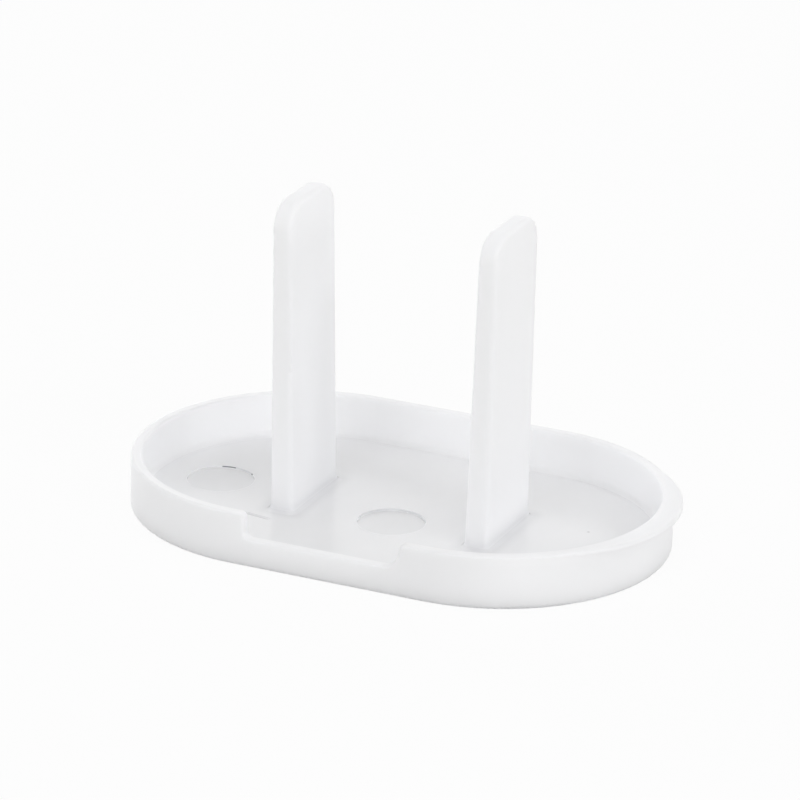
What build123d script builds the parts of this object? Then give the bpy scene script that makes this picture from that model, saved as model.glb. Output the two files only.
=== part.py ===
"""Outlet safety cover: a shallow moulded cap with two flat blades.

Millimetres. The cap stands on its underside at Z = 0 with its open side up. X runs along its length
towards the finger lip, Y across it away from the rim notch, and the origin is midway between the blades.
"""
import os
from dataclasses import dataclass
from math import sqrt

from build123d import *

# Cap: a dish with straight long sides and half-round ends
CAP_LENGTH = 33.6
CAP_WIDTH = 21.2
CAP_HEIGHT = 3.3
WALL_THICKNESS = 0.7
FLOOR_THICKNESS = 0.55
UNDERSIDE_ROUND = 0.25
FLOOR_ROUND = 0.4
RIM_ROUND = 0.18

# Blades, which enter the two straight slots of a socket and spring a little outwards
BLADE_PITCH = 12.7
BLADE_REACH = 16.55
BLADE_ROOT_THICKNESS = 1.5
BLADE_TIP_THICKNESS = 1.2
BLADE_ROOT_WIDTH = 6.4
BLADE_TIP_WIDTH = 6.2
BLADE_TIP_SPLAY = 0.25
BLADE_CORNER_ROUND = 1.7
BLADE_EDGE_ROUND = 0.3
BLADE_FOOT_ROUND = 0.35

# Notch in the rim of the front long side, for a fingernail or a coin
NOTCH_LENGTH = 9.9
NOTCH_DEPTH = 1.55
NOTCH_OFFSET = -0.25
NOTCH_CORNER_ROUND = 0.4
NOTCH_RAMP_ROUND = 1.1

# Finger lip, a crescent that stands out of the rim at one end
LIP_REACH = 0.7
LIP_SPAN = 14.1
LIP_EDGE_HEIGHT = 0.3
LIP_ROOT_HEIGHT = 0.6

# Room for a cutting block to pass a face cleanly, and the slack when edges are picked by height
CUT_CLEARANCE = 1.0
PICK_SLACK = 0.001

# Heights that follow from the sizes above
SILL_HEIGHT = CAP_HEIGHT - NOTCH_DEPTH
TIP_HEIGHT = CAP_HEIGHT + BLADE_REACH


@dataclass(frozen=True)
class RoundMark:
    """A shallow round recess that a moulding pin leaves in the floor."""

    x: float
    y: float
    diameter: float
    depth: float


CENTRE_MARK = RoundMark(x=0.2, y=-1.6, diameter=4.1, depth=0.15)
LEFT_MARK = RoundMark(x=-11.9, y=-0.15, diameter=4.1, depth=0.1)


def prism(inset: float, bottom: float, top: float) -> Part:
    """An upright solid on the cap's plan outline, moved inwards by a distance."""
    outline = SlotOverall(CAP_LENGTH - 2 * inset, CAP_WIDTH - 2 * inset)
    return extrude(Pos(Z=bottom) * outline, top - bottom)


def edges_between(solid: Part, low: float, high: float) -> ShapeList:
    """The edges of a solid that lie wholly between two heights."""
    return solid.edges().filter_by(
        lambda edge: all(low - PICK_SLACK < (edge @ t).Z < high + PICK_SLACK for t in (0, 0.5, 1))
    )


def edges_at(solid: Part, height: float) -> ShapeList:
    """The edges of a solid that lie flat at a height."""
    return edges_between(solid, height, height)


def notch_cutter() -> Part:
    """The block that cuts the notch: its lower corner towards the lip is a wide curve, the other one tight."""
    height = NOTCH_DEPTH + CUT_CLEARANCE
    depth = WALL_THICKNESS + 2 * CUT_CLEARANCE
    wall_middle = (WALL_THICKNESS - CAP_WIDTH) / 2
    block = Pos(NOTCH_OFFSET, wall_middle, SILL_HEIGHT + height / 2) * Box(NOTCH_LENGTH, depth, height)
    tight, wide = edges_at(block, SILL_HEIGHT).filter_by(Axis.Y).sort_by(Axis.X)
    block = fillet(wide, NOTCH_RAMP_ROUND)
    tight = edges_at(block, SILL_HEIGHT).filter_by(Axis.Y).sort_by(Axis.X)[0]
    return fillet(tight, NOTCH_CORNER_ROUND)


def crosses_wall(edge: Edge) -> bool:
    """Whether an edge runs through the wall, from its outer to its inner face."""
    start, end = edge @ 0, edge @ 1
    return abs(start.X - end.X) < abs(start.Y - end.Y) and edge.length < 1.1 * WALL_THICKNESS


def lip() -> Part:
    """The crescent: what a round disc with a sloping underside leaves outside the middle of the wall."""
    end_radius = CAP_WIDTH / 2
    end_centre = CAP_LENGTH / 2 - end_radius
    half_span = LIP_SPAN / 2
    crown = CAP_LENGTH / 2 + LIP_REACH
    rise = crown - end_centre - sqrt(end_radius**2 - half_span**2)
    radius = (rise**2 + half_span**2) / (2 * rise)
    section = Polyline(
        (0, CAP_HEIGHT),
        (radius, CAP_HEIGHT),
        (radius, CAP_HEIGHT - LIP_EDGE_HEIGHT),
        (radius - LIP_REACH, CAP_HEIGHT - LIP_ROOT_HEIGHT),
        (0, CAP_HEIGHT - LIP_ROOT_HEIGHT),
        close=True,
    )
    disc = revolve(Plane.XZ * make_face(section), Axis.Z)
    disc = fillet(edges_at(disc, CAP_HEIGHT), RIM_ROUND)
    return Pos(X=crown - radius) * disc - prism(WALL_THICKNESS / 2, 0, CAP_HEIGHT + CUT_CLEARANCE)


def cap() -> Part:
    """The dish: floor, wall and rim, with the rim's edges rounded all the way through the notch."""
    dish = prism(0, 0, CAP_HEIGHT)
    dish = fillet(edges_at(dish, 0), UNDERSIDE_ROUND)
    cavity = prism(WALL_THICKNESS, FLOOR_THICKNESS, CAP_HEIGHT + CUT_CLEARANCE)
    cavity = fillet(edges_at(cavity, FLOOR_THICKNESS), FLOOR_ROUND)
    dish = dish - cavity - notch_cutter()
    dish = fillet(edges_at(dish, CAP_HEIGHT).filter_by(Axis.Y), NOTCH_CORNER_ROUND)
    raised = edges_between(dish, SILL_HEIGHT, CAP_HEIGHT)
    return fillet(raised.filter_by(lambda edge: not crosses_wall(edge)), RIM_ROUND)


def blade(side: int) -> Part:
    """One blade, drafted and leaning outwards, with rounded tip corners and soft edges."""
    root = Pos(Z=FLOOR_THICKNESS) * Rectangle(BLADE_ROOT_THICKNESS, BLADE_ROOT_WIDTH)
    tip = Pos(side * BLADE_TIP_SPLAY, 0, TIP_HEIGHT) * Rectangle(BLADE_TIP_THICKNESS, BLADE_TIP_WIDTH)
    bar = loft([root, tip])
    bar = fillet(edges_at(bar, TIP_HEIGHT).filter_by(Axis.X), BLADE_CORNER_ROUND)
    sides = bar.faces().sort_by(Axis.X)
    rims = sides[0].edges() + sides[-1].edges()
    free_rims = rims.filter_by(lambda edge: edge.center().Z > FLOOR_THICKNESS + BLADE_FOOT_ROUND)
    return fillet(free_rims, BLADE_EDGE_ROUND)


def with_blades(dish: Part) -> Part:
    """The dish with both blades, each on a small fillet at its foot."""
    for side in (-1, 1):
        foot = side * BLADE_PITCH / 2
        dish = dish + Pos(X=foot) * blade(side)
        ring = edges_at(dish, FLOOR_THICKNESS)
        ring = ring.filter_by(lambda edge: abs(edge.center().X - foot) < BLADE_ROOT_THICKNESS)
        ring = ring.filter_by(lambda edge: abs(edge.center().Y) < BLADE_ROOT_WIDTH)
        dish = fillet(ring, BLADE_FOOT_ROUND)
    return dish


def mark_cutter(mark: RoundMark) -> Part:
    """The round plug that sinks a mark into the floor."""
    height = mark.depth + CUT_CLEARANCE
    bottom = FLOOR_THICKNESS - mark.depth
    return Pos(mark.x, mark.y, bottom + height / 2) * Cylinder(mark.diameter / 2, height)


def main() -> None:
    """Write the cover as one solid."""
    cover = with_blades(cap() + lip())
    cover = cover - mark_cutter(CENTRE_MARK) - mark_cutter(LEFT_MARK)
    os.makedirs("parts", exist_ok=True)
    export_step(cover, "parts/outlet_cover.step")


main()
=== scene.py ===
"""Outlet safety cover: moulded plastic finish, mould marks, studio light and camera.

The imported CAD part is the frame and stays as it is. This script dresses it in milky plastic, adds the fine
marks that its mould leaves, and sets it on a pale table in soft light. Z is up, and the origin is midway
between the blades on the cap's underside. Lengths are in metres, apart from the sizes that are said to be in
millimetres, which are multiplied by MM where they are used.
"""

import logging
import math
from dataclasses import dataclass, field, replace
from enum import Enum
from typing import Any, Optional, Union

import bmesh
import bpy
from mathutils import Matrix, Vector


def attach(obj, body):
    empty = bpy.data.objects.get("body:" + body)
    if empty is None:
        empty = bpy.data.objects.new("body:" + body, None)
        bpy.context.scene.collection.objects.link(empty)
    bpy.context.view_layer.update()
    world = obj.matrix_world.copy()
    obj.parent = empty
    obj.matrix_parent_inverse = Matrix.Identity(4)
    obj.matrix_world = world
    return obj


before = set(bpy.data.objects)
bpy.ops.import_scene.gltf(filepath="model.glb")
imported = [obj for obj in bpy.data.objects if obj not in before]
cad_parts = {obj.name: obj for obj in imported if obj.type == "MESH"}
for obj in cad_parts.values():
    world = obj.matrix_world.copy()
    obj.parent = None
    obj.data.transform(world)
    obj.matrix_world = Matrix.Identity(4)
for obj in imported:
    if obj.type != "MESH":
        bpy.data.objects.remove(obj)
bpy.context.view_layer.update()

LOG = logging.getLogger("outlet_cover")
BODY = "root"
COVER_NODE = "outlet_cover"

# One millimetre, in metres
MM = 0.001

# The floor inside the wall, in millimetres: its height, how far above it its finish reaches in full and over
# what height it then fades, half the length of its straight sides, the radius of its round ends, and over what
# width the finish fades at the wall
FLOOR_TOP = 0.55
FLOOR_REACH = FLOOR_TOP + 0.1
FLOOR_FADE = 0.1
FLOOR_STRAIGHT = 6.2
FLOOR_RADIUS = 9.6
FLOOR_EDGE_FADE = 0.2

# The heights between which the painted shade of the faces that look up sets in, in millimetres
RIM_LOW = 1.2
RIM_HIGH = 1.6

# The value that a noise texture drifts round
NOISE_MIDDLE = 0.5

# Sockets that are known by number: Texture Coordinate's outputs, and the colour inputs and output of Mix
COORD_NORMAL, COORD_OBJECT = 1, 3
MIX_FACTOR, MIX_FIRST, MIX_SECOND, MIX_RESULT = 0, 6, 7, 2

# The fine beads, in millimetres apart from the first three: steps in a burr's ring, sides of a bead's round
# section, waves in a metre, spacing of a bead's points, how far a burr lies outside its mark's edge, and the
# radius and waver of the burrs and of the ridge
BURR_STEPS = 96
BEAD_SIDES = 10
BEAD_WAVES = 900.0
BEAD_SPACING = 0.1
BURR_CLEARANCE = 0.03
BURR_RADIUS = 0.010
BURR_WAVER = 0.01
RIDGE_RADIUS = 0.03
RIDGE_WAVER = 0.03

# How far the lamps hang from the origin
LAMP_DISTANCE = 0.5

Number = Union[int, float]
Triple = tuple[float, float, float]
Colour = Triple


def direction(azimuth: float, elevation: float) -> Vector:
    """The way from the origin to a place round the cover.

    Args:
        azimuth: Degrees round Z, 0 in front of the notch and 90 at the finger lip.
        elevation: Degrees above the table.

    Returns:
        The unit vector.
    """
    turn, rise = math.radians(azimuth), math.radians(elevation)
    return Vector((math.sin(turn) * math.cos(rise), -math.cos(turn) * math.cos(rise), math.sin(rise)))


class Socket:
    """A shader socket that adds Math nodes when it is used in an expression."""

    def __init__(self, tree: "ShaderTree", link: bpy.types.NodeSocket) -> None:
        """Wraps one output socket.

        Args:
            tree: The tree that the socket is in.
            link: The output socket itself.
        """
        self.tree = tree
        self.link = link

    def _math(self, operation: str, *values: Any) -> "Socket":
        """Adds one Math node.

        Args:
            operation: The node's operation.
            values: Numbers or sockets for its inputs.

        Returns:
            The node's result.
        """
        return self.tree.node("ShaderNodeMath", {"operation": operation}, dict(enumerate(values)))[0]

    def __add__(self, other: Any) -> "Socket":
        """The sum."""
        return self._math("ADD", self, other)

    def __radd__(self, other: Any) -> "Socket":
        """The sum, from the right."""
        return self._math("ADD", other, self)

    def __sub__(self, other: Any) -> "Socket":
        """The difference."""
        return self._math("SUBTRACT", self, other)

    def __rsub__(self, other: Any) -> "Socket":
        """The difference, from the right."""
        return self._math("SUBTRACT", other, self)

    def __mul__(self, other: Any) -> "Socket":
        """The product."""
        return self._math("MULTIPLY", self, other)

    def __rmul__(self, other: Any) -> "Socket":
        """The product, from the right."""
        return self._math("MULTIPLY", other, self)

    def __truediv__(self, other: Any) -> "Socket":
        """The quotient."""
        return self._math("DIVIDE", self, other)

    def __abs__(self) -> "Socket":
        """The size without its sign."""
        return self._math("ABSOLUTE", self)

    def positive(self) -> "Socket":
        """The value where it is above 0, else 0."""
        return self._math("MAXIMUM", self, 0.0)

    def root(self) -> "Socket":
        """The square root."""
        return self._math("SQRT", self)

    def step(self, low: Number, high: Number) -> "Socket":
        """A smooth step from 0 at low to 1 at high.

        Args:
            low: Where the step starts.
            high: Where the step ends.

        Returns:
            The step's value.
        """
        settings = {"interpolation_type": "SMOOTHSTEP"}
        values = {"Value": self, "From Min": low, "From Max": high, "To Min": 0.0, "To Max": 1.0}
        return self.tree.node("ShaderNodeMapRange", settings, values)[0]

    def under(self, limit: Number, softness: Number) -> "Socket":
        """1 below a limit, falling smoothly to 0 within the softness above it."""
        return 1.0 - self.step(limit, limit + softness)


@dataclass(frozen=True)
class Pattern:
    """A noise pattern: its features in a metre, how many finer layers it has, and how strong those are."""

    per_metre: float
    detail: float
    roughness: float


class ShaderTree:
    """A material's or a world's node tree, emptied and ready to be filled."""

    def __init__(self, owner: Union[bpy.types.Material, bpy.types.World]) -> None:
        """Empties the tree.

        Args:
            owner: The material or world that has the tree.
        """
        owner.use_nodes = True
        self.tree = owner.node_tree
        self.tree.nodes.clear()

    def node(self, kind: str, settings: dict[str, Any], values: dict[Any, Any]) -> list[Socket]:
        """Adds one node.

        Args:
            kind: The node's type.
            settings: The node's own settings, which are set first.
            values: What its input sockets get, by name or number: a value or a socket.

        Returns:
            The node's outputs, in order.
        """
        made = self.tree.nodes.new(kind)
        for name, value in settings.items():
            setattr(made, name, value)
        for name, value in values.items():
            target = made.inputs[name]
            if isinstance(value, Socket):
                self.tree.links.new(value.link, target)
            else:
                target.default_value = value
        return [Socket(self, output) for output in made.outputs if output.enabled]

    def position(self) -> Socket:
        """The surface point in the object's own coordinates."""
        return self.node("ShaderNodeTexCoord", {}, {})[COORD_OBJECT]

    def normal(self) -> Socket:
        """The direction that the surface faces, in the object's own coordinates."""
        return self.node("ShaderNodeTexCoord", {}, {})[COORD_NORMAL]

    def rays(self) -> tuple[Socket, Socket]:
        """Whether a ray comes straight from the camera, and whether it comes off gloss."""
        seen, _, _, mirrored = self.node("ShaderNodeLightPath", {}, {})[:4]
        return seen, mirrored

    def split(self, vector: Socket) -> list[Socket]:
        """A vector's three parts."""
        return self.node("ShaderNodeSeparateXYZ", {}, {"Vector": vector})

    def stretched(self, vector: Socket, factors: Triple) -> Socket:
        """A vector with each part multiplied by its own factor."""
        return self.node("ShaderNodeVectorMath", {"operation": "MULTIPLY"}, {0: vector, 1: factors})[0]

    def noise(self, vector: Socket, pattern: Pattern) -> Socket:
        """A noise texture's factor.

        Args:
            vector: Where the noise is read.
            pattern: Its features and layers.

        Returns:
            A value that drifts round NOISE_MIDDLE.
        """
        layers = {"Detail": pattern.detail, "Roughness": pattern.roughness}
        return self.node("ShaderNodeTexNoise", {}, {"Vector": vector, "Scale": pattern.per_metre, **layers})[0]

    def blend(self, factor: Any, first: Any, second: Any) -> Socket:
        """A colour between two others.

        Args:
            factor: 0 for the first colour, 1 for the second.
            first: The first colour, a value or a socket.
            second: The second colour, a value or a socket.

        Returns:
            The blended colour.
        """
        node = self.tree.nodes.new("ShaderNodeMix")
        node.data_type = "RGBA"
        for index, value in ((MIX_FACTOR, factor), (MIX_FIRST, first), (MIX_SECOND, second)):
            if isinstance(value, Socket):
                self.tree.links.new(value.link, node.inputs[index])
            else:
                node.inputs[index].default_value = value if index == MIX_FACTOR else (*value, 1.0)
        return Socket(self, node.outputs[MIX_RESULT])

    def bump(self, height: Socket, depth: float, base: Optional[Socket] = None) -> Socket:
        """A bumped normal.

        Args:
            height: The surface height, from 0 to 1.
            depth: How far a height of 1 stands out.
            base: The normal that the bump is laid on, or None for the surface's own.

        Returns:
            The normal.
        """
        under = {} if base is None else {"Normal": base}
        return self.node("ShaderNodeBump", {}, {"Height": height, "Distance": depth, **under})[0]


@dataclass(frozen=True)
class PinMark:
    """A round mark that a moulding pin left in the floor. Lengths in millimetres."""

    x: float
    y: float
    radius: float


@dataclass(frozen=True)
class PinMarkShade:
    """Painted shade in the step of a pin mark, along part of its edge.

    Directions are in degrees from +X and lengths in millimetres. The painted shade fades over a share of
    its reach at each end, starts at its depth under the floor, is at its darkest from a share of that depth
    upwards, and spills a little over the floor.
    """

    mark: PinMark
    middle: float
    reach: float
    darkness: float
    depth: float
    dark_reach: float = 0.9
    faded_reach: float = 1.08
    half_width: float = 0.03
    fade: float = 0.05
    dark_depth: float = 0.6
    spill: float = 0.02

    def darkening(self, place: list[Socket]) -> Socket:
        """How dark the edge of the mark is at a point.

        Args:
            place: The point's three coordinates.

        Returns:
            0 for unshaded plastic, up to the painted shade's own darkness.
        """
        turn, reach = math.radians(self.middle), math.radians(self.reach)
        across, along = place[0] - self.mark.x * MM, place[1] - self.mark.y * MM
        far = (across * across + along * along).root()
        facing = (across * math.cos(turn) + along * math.sin(turn)) / far
        sector = facing.step(math.cos(reach * self.faded_reach), math.cos(reach * self.dark_reach))
        edge = abs(far - self.mark.radius * MM).under(self.half_width * MM, self.fade * MM)
        bottom, dark = FLOOR_TOP - self.depth, FLOOR_TOP - self.dark_depth * self.depth
        above = place[2].step(bottom * MM, dark * MM)
        below = place[2].under((FLOOR_TOP + self.spill) * MM, self.fade * MM)
        return edge * sector * above * below * self.darkness


@dataclass(frozen=True)
class DirtLine:
    """A thin dark line on the floor, straight in plan.

    Lengths are in millimetres. The line is at its darkest within a share of its width on either side of its
    middle, and fades within another share outside it.
    """

    start: tuple[float, float]
    end: tuple[float, float]
    width: float
    darkness: float
    dark_share: float = 0.4
    fade_share: float = 0.6

    def darkening(self, place: list[Socket]) -> Socket:
        """How dark the line is at a point.

        Args:
            place: The point's three coordinates.

        Returns:
            0 for clean plastic, up to the line's own darkness.
        """
        run = Vector(self.end) - Vector(self.start)
        length, heading = run.length, run.normalized()
        across, along = place[0] - self.start[0] * MM, place[1] - self.start[1] * MM
        ahead = across * heading.x + along * heading.y
        aside = abs(along * heading.x - across * heading.y)
        after_start = ahead.step(-self.width * MM, self.width * MM)
        before_end = ahead.under((length - self.width) * MM, 2 * self.width * MM)
        beside = aside.under(self.dark_share * self.width * MM, self.fade_share * self.width * MM)
        return beside * (after_start * before_end) * self.darkness


@dataclass(frozen=True)
class FootShade:
    """Painted shade in the corner round a blade's foot, a faint painted contact shadow.

    Lengths are in millimetres. The painted shade is at its darkest up to a share of its height, and fades
    within another share above that.
    """

    x: float
    half_thickness: float = 0.75
    half_width: float = 3.2
    height: float = 0.9
    reach: float = 1.1
    darkness: float = 0.12
    dark_share: float = 0.4
    fade_share: float = 1.2

    def darkening(self, place: list[Socket]) -> Socket:
        """How dark the corner is at a point.

        Args:
            place: The point's three coordinates.

        Returns:
            0 for unshaded plastic, up to the painted shade's own darkness.
        """
        across = (abs(place[0] - self.x * MM) - self.half_thickness * MM).positive()
        along = (abs(place[1]) - self.half_width * MM).positive()
        far = (across * across + along * along).root()
        low = place[2].under(self.dark_share * self.height * MM, self.fade_share * self.height * MM)
        return far.under(0.0, self.reach * MM) * low * self.darkness


PIN_MARKS = (PinMark(x=0.2, y=-1.6, radius=2.05), PinMark(x=-11.9, y=-0.15, radius=2.05))
FLOOR_LINES = (
    DirtLine(start=(-8.24, -4.28), end=(-6.50, -4.54), width=0.22, darkness=0.22),
    DirtLine(start=(11.27, 2.33), end=(11.35, 2.33), width=0.10, darkness=0.60),
)
# Painted shade in the pin marks' steps, then the thin dark lines on the floor
FLOOR_SHADE_AND_LINES = (
    PinMarkShade(PIN_MARKS[0], middle=108.0, reach=82.0, darkness=0.20, depth=0.12),
    PinMarkShade(PIN_MARKS[1], middle=80.0, reach=33.0, darkness=0.22, depth=0.06),
    PinMarkShade(PIN_MARKS[1], middle=102.0, reach=12.0, darkness=0.85, depth=0.07),
    PinMarkShade(PIN_MARKS[1], middle=48.5, reach=2.5, darkness=0.80, depth=0.08),
    *FLOOR_LINES,
)
# Painted contact shade round the blades' feet
FOOT_SHADES = (FootShade(x=-6.35), FootShade(x=6.35))


@dataclass(frozen=True)
class MilkyPlastic:
    """Translucent white plastic straight from a polished mould.

    The colour drifts a little where the melt flowed, the gloss is patchy, and the surface has the faint
    waves of shrinkage and the fine grain of the mould's steel. The floor is glossier than the rest, and the
    faces above it that look up, such as the rim and the blades' tips, get a painted shade that makes them
    darker. Painted shade also darkens the steps of the pin marks and the corners round the blades' feet,
    and thin dark lines lie on the floor.
    """

    name: str = "milky_plastic"
    light_tint: Colour = (0.948, 0.951, 0.970)
    dark_tint: Colour = (0.933, 0.936, 0.956)
    # Painted shade: the darker colour of the faces that look up, above the floor
    painted_rim_shade: Colour = (0.850, 0.852, 0.866)
    # The tint of the painted shade in the pin marks and round the feet, and of the floor's dark lines and
    # speck
    dirt_and_shade_tint: Colour = (0.20, 0.20, 0.21)
    gloss: float = 0.50
    floor_gloss: float = 0.18
    flow_gloss_range: float = 0.10
    grain_gloss_range: float = 0.05
    flow: Pattern = Pattern(per_metre=160.0, detail=3.0, roughness=0.55)
    flow_stretch: Triple = (1.0, 1.0, 0.45)
    flow_low: float = 0.35
    flow_high: float = 0.65
    grain: Pattern = Pattern(per_metre=9000.0, detail=2.0, roughness=0.6)
    grain_depth: float = 0.0000015
    wave: Pattern = Pattern(per_metre=260.0, detail=1.0, roughness=0.4)
    wave_depth: float = 0.000004
    index_of_refraction: float = 1.49
    scatter: float = 0.75
    scatter_reach: float = 0.0016

    def build(self) -> bpy.types.Material:
        """Makes the material.

        Returns:
            The finished material.
        """
        material = bpy.data.materials.new(self.name)
        tree = ShaderTree(material)
        place = tree.position()
        parts = tree.split(place)
        on_floor = parts[2].under(FLOOR_REACH * MM, FLOOR_FADE * MM) * self.inside(parts)
        flow = tree.noise(tree.stretched(place, self.flow_stretch), self.flow)
        grain = tree.noise(place, self.grain)
        waved = tree.bump(tree.noise(place, self.wave), self.wave_depth)
        gloss = self.gloss + (self.floor_gloss - self.gloss) * on_floor
        drift = self.flow_gloss_range * (flow - NOISE_MIDDLE)
        shader = tree.node("ShaderNodeBsdfPrincipled", {}, {
            "Base Color": self.colour(tree, parts, flow, on_floor),
            "Roughness": gloss + drift + self.grain_gloss_range * (grain - NOISE_MIDDLE),
            "Normal": tree.bump(grain, self.grain_depth, waved),
            "IOR": self.index_of_refraction,
            "Subsurface Weight": self.scatter,
            "Subsurface Radius": (1.0, 1.0, 1.0),
            "Subsurface Scale": self.scatter_reach,
        })[0]
        tree.node("ShaderNodeOutputMaterial", {}, {"Surface": shader})
        return material

    def colour(self, tree: ShaderTree, place: list[Socket], flow: Socket, on_floor: Socket) -> Socket:
        """The plastic's colour, with its painted shade and its dark lines on the floor.

        Args:
            tree: The material's tree.
            place: The point's three coordinates.
            flow: The drift of the melt.
            on_floor: 1 on the floor, else 0.

        Returns:
            The colour.
        """
        colour = tree.blend(flow.step(self.flow_low, self.flow_high), self.dark_tint, self.light_tint)
        facing_up = tree.split(tree.normal())[2].step(0.0, 1.0)
        # Painted shade: faces that look up, above the floor, are darkened towards the painted rim shade
        colour = tree.blend(facing_up * place[2].step(RIM_LOW * MM, RIM_HIGH * MM), colour, self.painted_rim_shade)
        # Painted shade in the pin marks' steps, and the thin dark lines and speck on the floor
        for spot in FLOOR_SHADE_AND_LINES:
            colour = tree.blend(spot.darkening(place) * on_floor, colour, self.dirt_and_shade_tint)
        # Painted shade: a soft contact shadow round each blade's foot
        for foot in FOOT_SHADES:
            colour = tree.blend(foot.darkening(place), colour, self.dirt_and_shade_tint)
        return colour

    @staticmethod
    def inside(place: list[Socket]) -> Socket:
        """1 over the flat floor inside the wall, 0 from the wall outwards.

        Args:
            place: The point's three coordinates.

        Returns:
            The share, which falls smoothly at the floor's edge.
        """
        ahead = (abs(place[0]) - FLOOR_STRAIGHT * MM).positive()
        far = (ahead * ahead + place[1] * place[1]).root()
        return far.under(FLOOR_RADIUS * MM, FLOOR_EDGE_FADE * MM)


@dataclass(frozen=True)
class PaleTable:
    """A white table top that keeps the cover's soft shadow."""

    name: str = "pale_table"
    paint: Colour = (0.82, 0.82, 0.82)
    glow: float = 1.0
    glow_share: float = 0.92
    radius: float = 0.8
    corners: int = 96
    gap: float = 0.00002

    def material(self) -> bpy.types.Material:
        """Makes the table's paint: mostly plain white to the camera, plain paint to the cover.

        Returns:
            The finished material.
        """
        material = bpy.data.materials.new(self.name)
        tree = ShaderTree(material)
        seen, mirrored = tree.rays()
        paint = tree.node("ShaderNodeBsdfDiffuse", {}, {"Color": (*self.paint, 1.0)})[0]
        glow = tree.node("ShaderNodeEmission", {}, {"Strength": self.glow})[0]
        share = (seen + mirrored) * self.glow_share
        surface = tree.node("ShaderNodeMixShader", {}, {0: share, 1: paint, 2: glow})[0]
        tree.node("ShaderNodeOutputMaterial", {}, {"Surface": surface})
        return material

    def build(self) -> bpy.types.Object:
        """Makes the table top, a hair under the cap's underside so that the two faces don't coincide.

        Returns:
            The table.
        """
        form = bmesh.new()
        lowered = Matrix.Translation((0.0, 0.0, -self.gap))
        bmesh.ops.create_circle(
            form, cap_ends=True, segments=self.corners, radius=self.radius, matrix=lowered
        )
        mesh = bpy.data.meshes.new(self.name)
        form.to_mesh(mesh)
        form.free()
        table = bpy.data.objects.new(self.name, mesh)
        bpy.context.scene.collection.objects.link(table)
        mesh.materials.append(self.material())
        LOG.info("%s: stage", table.name)
        return table


class Lamp(Enum):
    """The studio's soft boxes: azimuth and elevation in degrees, size in metres, power in watts.

    They stay out of the cover's gloss, which mirrors the white room alone.
    """

    BACK_LEFT_LOW = (-125.0, 7.0, 0.12, 0.77)
    TOP = (0.0, 89.0, 0.40, 0.48)
    FRONT_RIGHT = (60.0, 42.0, 0.35, 0.42)
    FRONT = (0.0, 42.0, 0.35, 0.32)
    BACK_LEFT = (-135.0, 42.0, 0.35, 0.19)
    BACK_RIGHT = (120.0, 42.0, 0.35, 0.20)
    FRONT_LOW = (0.0, 12.0, 0.25, 0.19)
    LEFT = (-85.0, 20.0, 0.12, 0.22)
    RIGHT_LOW = (92.0, 12.0, 0.08, 0.175)
    RIGHT = (75.0, 30.0, 0.08, 0.14)
    BACK_LOW = (180.0, 12.0, 0.25, 0.12)

    def build(self) -> bpy.types.Object:
        """Hangs the soft box, facing the cover.

        Returns:
            The lamp.
        """
        azimuth, elevation, size, power = self.value
        away = direction(azimuth, elevation)
        light = bpy.data.lights.new(f"lamp_{self.name.lower()}", "AREA")
        light.shape = "DISK"
        light.size = size
        light.energy = power
        lamp = bpy.data.objects.new(light.name, light)
        lamp.location = away * LAMP_DISTANCE
        lamp.rotation_mode = "QUATERNION"
        lamp.rotation_quaternion = away.to_track_quat("Z", "Y")
        lamp.visible_glossy = False
        bpy.context.scene.collection.objects.link(lamp)
        return lamp


@dataclass(frozen=True)
class Surroundings:
    """The white room, as strengths of which 1 is white.

    It is plain white to the camera, brighter in the cover's gloss, and a soft even light elsewhere.
    """

    light: float = 0.353
    mirror: float = 1.25
    backdrop: float = 1.0

    def build(self) -> None:
        """Sets the scene's world."""
        world = bpy.data.worlds.new("white_room")
        tree = ShaderTree(world)
        seen, mirrored = tree.rays()
        lit = self.light + mirrored * (self.mirror - self.light)
        strength = lit + seen * (self.backdrop - lit)
        white = {"Color": (1.0, 1.0, 1.0, 1.0), "Strength": strength}
        glow = tree.node("ShaderNodeBackground", {}, white)[0]
        tree.node("ShaderNodeOutputWorld", {}, {"Surface": glow})
        bpy.context.scene.world = world


@dataclass(frozen=True)
class PhotoCamera:
    """The camera where the photograph was taken, found from the spacing of the blades.

    Angles are in degrees and lengths in millimetres, apart from the clipping distances in metres.
    """

    azimuth: float = 24.088
    elevation: float = 20.99
    roll: float = 1.212
    distance: float = 271.422
    focal_pixels: float = 4519.143
    picture_pixels: float = 800.0
    aside: float = -0.102
    aloft: float = 7.237
    sensor: float = 36.0
    nearest: float = 0.01
    farthest: float = 10.0

    def build(self) -> bpy.types.Object:
        """Makes the camera and gives it to the scene.

        Returns:
            The camera.
        """
        turn, tilt = math.radians(self.azimuth), math.radians(self.roll)
        back = direction(self.azimuth, self.elevation)
        right = Vector((math.cos(turn), math.sin(turn), 0.0))
        up = back.cross(right)
        place = (self.aside * right + self.aloft * up + self.distance * back) * MM
        rolled_right = math.cos(tilt) * right + math.sin(tilt) * up
        rolled_up = math.cos(tilt) * up - math.sin(tilt) * right
        axes = Matrix((rolled_right, rolled_up, back)).transposed().to_4x4()
        lens = bpy.data.cameras.new("photo_camera")
        lens.sensor_width = self.sensor
        lens.lens = self.focal_pixels / self.picture_pixels * self.sensor
        lens.clip_start = self.nearest
        lens.clip_end = self.farthest
        camera = bpy.data.objects.new("photo_camera", lens)
        camera.matrix_world = Matrix.Translation(place) @ axes
        bpy.context.scene.collection.objects.link(camera)
        bpy.context.scene.camera = camera
        return camera


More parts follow.
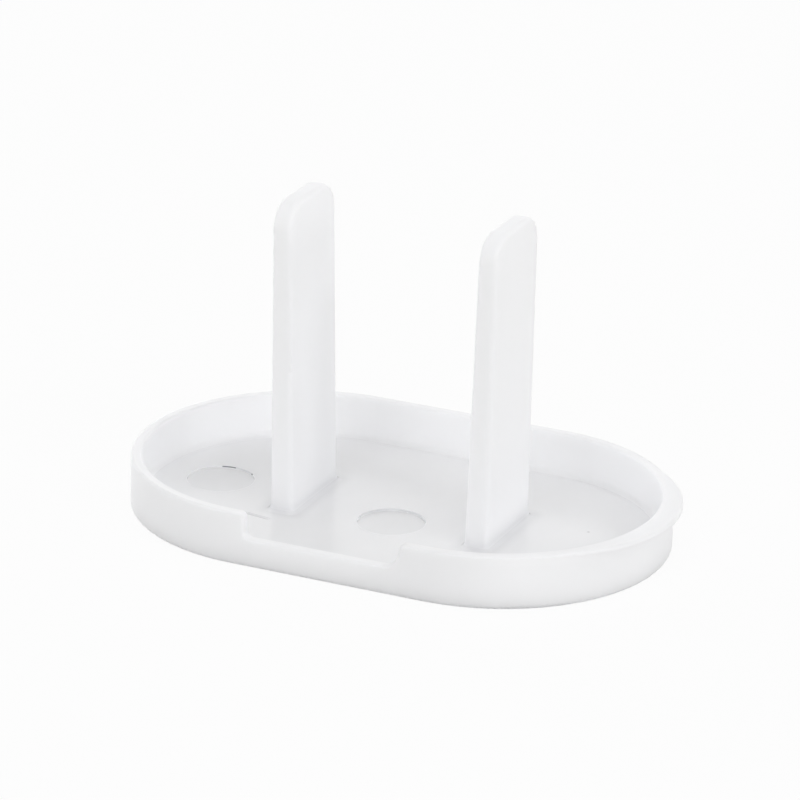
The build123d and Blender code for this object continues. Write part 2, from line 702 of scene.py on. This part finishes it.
@dataclass(frozen=True)
class Bead:
    """A thin raised line that a joint in the mould leaves. Lengths in millimetres."""

    name: str
    path: tuple[Triple, ...]
    closed: bool
    radius: float
    waver: float
    seed: float

    @classmethod
    def round_mark(cls, name: str, mark: PinMark, seed: float) -> "Bead":
        """The burr round a pin mark.

        Args:
            name: The piece's name.
            mark: The pin mark.
            seed: The seed of its waver.

        Returns:
            The burr.
        """
        turns = [math.tau * step / BURR_STEPS for step in range(BURR_STEPS)]
        reach = mark.radius + BURR_CLEARANCE
        path = tuple((mark.x + reach * math.cos(t), mark.y + reach * math.sin(t), FLOOR_TOP) for t in turns)
        return cls(name, path, True, BURR_RADIUS, BURR_WAVER, seed)

    @classmethod
    def along_line(cls, name: str, line: DirtLine, seed: float) -> "Bead":
        """The fine ridge under a thin line on the floor.

        Args:
            name: The piece's name.
            line: The line.
            seed: The seed of its waver.

        Returns:
            The ridge.
        """
        path = tuple((x, y, FLOOR_TOP) for x, y in (line.start, line.end))
        return cls(name, path, False, RIDGE_RADIUS, RIDGE_WAVER, seed)

    def path_mesh(self) -> bpy.types.Mesh:
        """Makes the path as a mesh of edges alone.

        Returns:
            The mesh, in metres.
        """
        mesh = bpy.data.meshes.new(f"{self.name}_path")
        count = len(self.path)
        steps = range(count if self.closed else count - 1)
        corners = [Vector(point) * MM for point in self.path]
        mesh.from_pydata(corners, [(step, (step + 1) % count) for step in steps], [])
        return mesh


class BeadTree:
    """A Geometry Nodes tree that lays a thin wavering bead along a path of edges."""

    def __init__(self) -> None:
        """Builds the tree."""
        self.tree = bpy.data.node_groups.new("mould_bead", "GeometryNodeTree")
        self.keys: dict[str, str] = {}
        self._add_input("Path", "NodeSocketGeometry")
        for name in ("Radius", "Spacing", "Waver", "Seed"):
            self._add_input(name, "NodeSocketFloat")
        self._add_input("Plastic", "NodeSocketMaterial")
        self.tree.interface.new_socket("Bead", in_out="OUTPUT", socket_type="NodeSocketGeometry")
        entry = self.tree.nodes.new("NodeGroupInput").outputs
        round_section = {"Resolution": BEAD_SIDES, "Radius": entry["Radius"]}
        ring = self._node("GeometryNodeCurvePrimitiveCircle", {}, round_section)
        swept = {"Curve": self._wavering_path(entry), "Profile Curve": ring[0], "Fill Caps": True}
        bead = self._node("GeometryNodeCurveToMesh", {}, swept)
        smooth = self._node("GeometryNodeSetShadeSmooth", {}, {"Geometry": bead[0]})
        real = self._node("GeometryNodeRealizeInstances", {}, {"Geometry": smooth[0]})
        plastic = {"Geometry": real[0], "Material": entry["Plastic"]}
        dressed = self._node("GeometryNodeSetMaterial", {}, plastic)
        self.tree.links.new(dressed[0], self.tree.nodes.new("NodeGroupOutput").inputs[0])

    def _wavering_path(self, entry: Any) -> bpy.types.NodeSocket:
        """Adds the nodes that space the path's points evenly and move them aside.

        Args:
            entry: The tree's inputs.

        Returns:
            The path as a curve.
        """
        curve = self._node("GeometryNodeMeshToCurve", {}, {"Mesh": entry["Path"]})
        spaced = {"Curve": curve[0], "Length": entry["Spacing"]}
        even = self._node("GeometryNodeResampleCurve", {"mode": "LENGTH"}, spaced)
        seeded = {"W": entry["Seed"], "Scale": BEAD_WAVES}
        drift = self._node("ShaderNodeTexNoise", {"noise_dimensions": "4D"}, seeded)
        middled = {0: drift[1], 1: (NOISE_MIDDLE,) * 3}
        centred = self._node("ShaderNodeVectorMath", {"operation": "SUBTRACT"}, middled)
        sized = {0: centred[0], "Scale": entry["Waver"]}
        offset = self._node("ShaderNodeVectorMath", {"operation": "SCALE"}, sized)
        return self._node("GeometryNodeSetPosition", {}, {"Geometry": even[0], "Offset": offset[0]})[0]

    def _add_input(self, name: str, kind: str) -> None:
        """Gives the tree a named input and keeps its identifier."""
        self.keys[name] = self.tree.interface.new_socket(name, in_out="INPUT", socket_type=kind).identifier

    def _node(self, kind: str, settings: dict[str, Any], values: dict[Any, Any]) -> Any:
        """Adds one node.

        Args:
            kind: The node's type.
            settings: The node's own settings, which are set first.
            values: What its input sockets get, by name or number: a value or another node's output.

        Returns:
            The node's outputs.
        """
        made = self.tree.nodes.new(kind)
        for name, value in settings.items():
            setattr(made, name, value)
        for name, value in values.items():
            if isinstance(value, bpy.types.NodeSocket):
                self.tree.links.new(value, made.inputs[name])
            else:
                made.inputs[name].default_value = value
        return made.outputs

    def lay(self, bead: Bead, plastic: bpy.types.Material) -> bpy.types.Object:
        """Lays one bead.

        Args:
            bead: The bead's path and sizes.
            plastic: The material it gets.

        Returns:
            The bead as a plain mesh object, riding on the body.
        """
        path = bead.path_mesh()
        piece = bpy.data.objects.new(bead.name, path)
        bpy.context.scene.collection.objects.link(piece)
        modifier = piece.modifiers.new("mould_bead", "NODES")
        modifier.node_group = self.tree
        sizes = {"Radius": bead.radius * MM, "Spacing": BEAD_SPACING * MM, "Waver": bead.waver * MM}
        for name, value in {**sizes, "Seed": bead.seed, "Plastic": plastic}.items():
            modifier[self.keys[name]] = value
        evaluated = piece.evaluated_get(bpy.context.evaluated_depsgraph_get())
        solid = bpy.data.meshes.new_from_object(evaluated)
        solid.name = bead.name
        piece.modifiers.clear()
        piece.data = solid
        bpy.data.meshes.remove(path)
        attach(piece, BODY)
        LOG.info("%s: %d faces", bead.name, len(solid.polygons))
        return piece


@dataclass
class Cover:
    """The moulded cover: the CAD node in its plastic, and the fine beads that the mould leaves on it."""

    finish: MilkyPlastic = field(default_factory=MilkyPlastic)
    ridge_seed: float = 5.0

    def dress(self) -> bpy.types.Object:
        """Puts the plastic on the CAD node.

        Returns:
            The node's object.
        """
        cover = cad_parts[COVER_NODE]
        plastic = self.finish.build()
        for slot in cover.material_slots:
            slot.material = plastic
        LOG.info("%s: %d faces in %s", cover.name, len(cover.data.polygons), plastic.name)
        return cover

    def lay_beads(self) -> list[bpy.types.Object]:
        """Lays the burrs and the ridge, in the plastic without its scatter and its glossy floor.

        Returns:
            The beads' objects.
        """
        plain = {"scatter": 0.0, "floor_gloss": self.finish.gloss}
        thin = replace(self.finish, name=f"{self.finish.name}_thin", **plain).build()
        marks = enumerate(PIN_MARKS)
        burrs = [Bead.round_mark(f"pin_burr_{index}", mark, float(index)) for index, mark in marks]
        ridge = Bead.along_line("floor_ridge", FLOOR_LINES[0], self.ridge_seed)
        tree = BeadTree()
        return [tree.lay(bead, thin) for bead in (*burrs, ridge)]


def main() -> None:
    """Builds the camera, the cover and the studio."""
    logging.basicConfig(level=logging.INFO, format="%(name)s: %(message)s")
    bpy.context.scene.view_settings.view_transform = "Standard"
    PhotoCamera().build()
    cover = Cover()
    cover.dress()
    cover.lay_beads()
    PaleTable().build()
    Surroundings().build()
    for lamp in Lamp:
        lamp.build()


if __name__ == "__main__":
    main()
